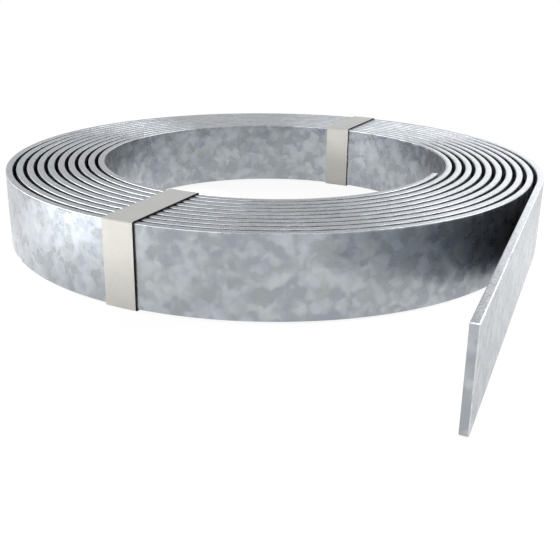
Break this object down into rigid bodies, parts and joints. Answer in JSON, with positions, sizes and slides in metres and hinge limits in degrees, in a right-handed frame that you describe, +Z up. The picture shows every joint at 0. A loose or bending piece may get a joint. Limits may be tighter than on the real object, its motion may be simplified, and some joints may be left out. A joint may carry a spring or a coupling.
{
  "type": "steel strip coil",
  "caption": "Coil of flat galvanised steel strip lying on its side, wound as an open spiral with a straight loose outer end and held by flat straps.",
  "frame": {"origin": "axis of the coil, on the floor that the straps' lower runs rest on", "axes": "+Z up along the axis of the coil; -Y is the front, where the loose end reaches out; +X is right"},
  "size_m": [0.3063, 0.3876, 0.0416],
  "materials": {
    "galvanised_steel": "hot-dip galvanised, spangled, satin",
    "strap_band": "off-white paint, satin, dark cut edges"
  },
  "bodies": {
    "root": {"strip": "galvanised_steel", "front_strap": "strap_band", "rear_strap": "strap_band"}
  },
  "joints": []
}
